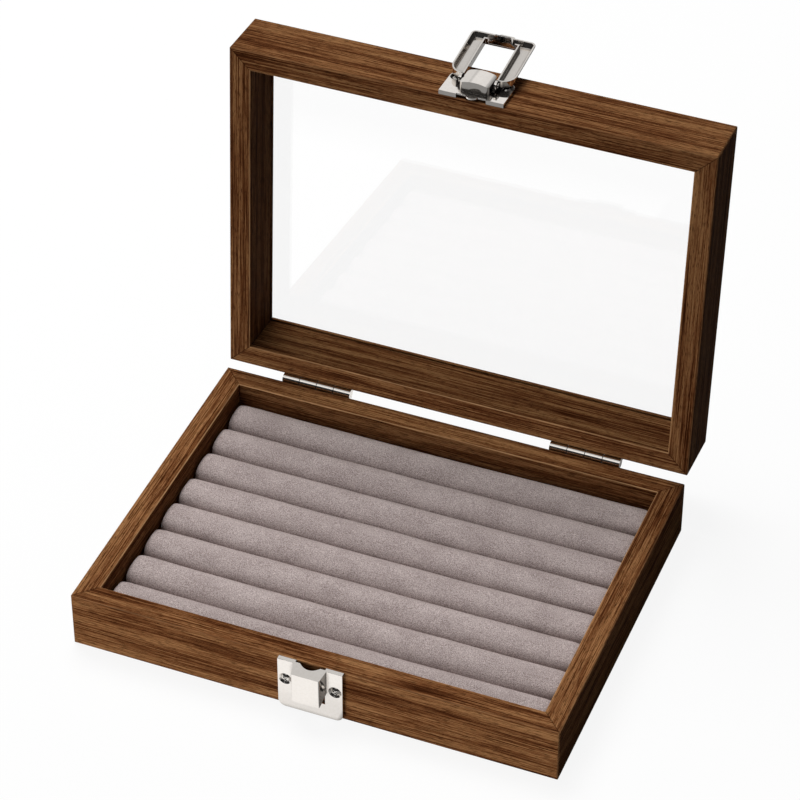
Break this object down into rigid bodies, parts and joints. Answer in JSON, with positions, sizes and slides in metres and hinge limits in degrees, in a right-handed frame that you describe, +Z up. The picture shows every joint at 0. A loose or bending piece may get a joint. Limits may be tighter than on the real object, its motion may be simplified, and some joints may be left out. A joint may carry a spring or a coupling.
{
  "type": "ring display box",
  "caption": "Shallow wood-look display case with a glazed hinged lid, a tray of padded velvet rolls for rings and a swinging bail clasp.",
  "frame": {"origin": "centre of the base's underside", "axes": "+Z up, -Y towards the clasp at the front, +Y towards the hinges, +X to the right of someone facing the clasp"},
  "size_m": [0.2, 0.2105, 0.1832],
  "materials": {
    "walnut": "satin walnut-grain wrap over fibreboard",
    "panel": "plain fibreboard",
    "card": "matte",
    "velvet": "grey-mauve velvet over foam",
    "glass": "clear float glass",
    "nickel": "nickel plate, softly polished",
    "bright_steel": "bright zinc or nickel plate"
  },
  "bodies": {
    "base": {"base_front_rail": "walnut", "base_back_rail": "walnut", "base_left_rail": "walnut", "base_right_rail": "walnut", "base_panel": "panel", "insert_board": "card", "velvet_roll_1": "velvet", "velvet_roll_2": "velvet", "velvet_roll_3": "velvet", "velvet_roll_4": "velvet", "velvet_roll_5": "velvet", "velvet_roll_6": "velvet", "velvet_roll_7": "velvet", "velvet_roll_8": "velvet", "left_hinge_base_leaf": "bright_steel", "right_hinge_base_leaf": "bright_steel", "left_hinge_pin": "bright_steel", "right_hinge_pin": "bright_steel", "hinge_base_screws": "bright_steel", "clasp_hook_plate": "nickel", "clasp_base_screws": "bright_steel"},
    "lid": {"lid_front_rail": "walnut", "lid_back_rail": "walnut", "lid_left_rail": "walnut", "lid_right_rail": "walnut", "lid_glass": "glass", "left_hinge_lid_leaf": "bright_steel", "right_hinge_lid_leaf": "bright_steel", "hinge_lid_screws": "bright_steel", "clasp_lid_plate": "nickel", "bail_axle": "bright_steel", "clasp_lid_screws": "bright_steel"},
    "bail": {"clasp_bail": "nickel"}
  },
  "joints": [
    {"name": "lid_hinge", "type": "hinge", "parent": "base", "child": "lid", "pos_m": [0, 0.07705, 0.02505], "axis": [1, 0, 0], "range_deg": [0, 94]},
    {"name": "bail_pivot", "type": "hinge", "parent": "lid", "child": "bail", "pos_m": [0.0008, 0.09686, 0.1801], "axis": [1, 0, 0], "range_deg": [0, 172]}
  ]
}
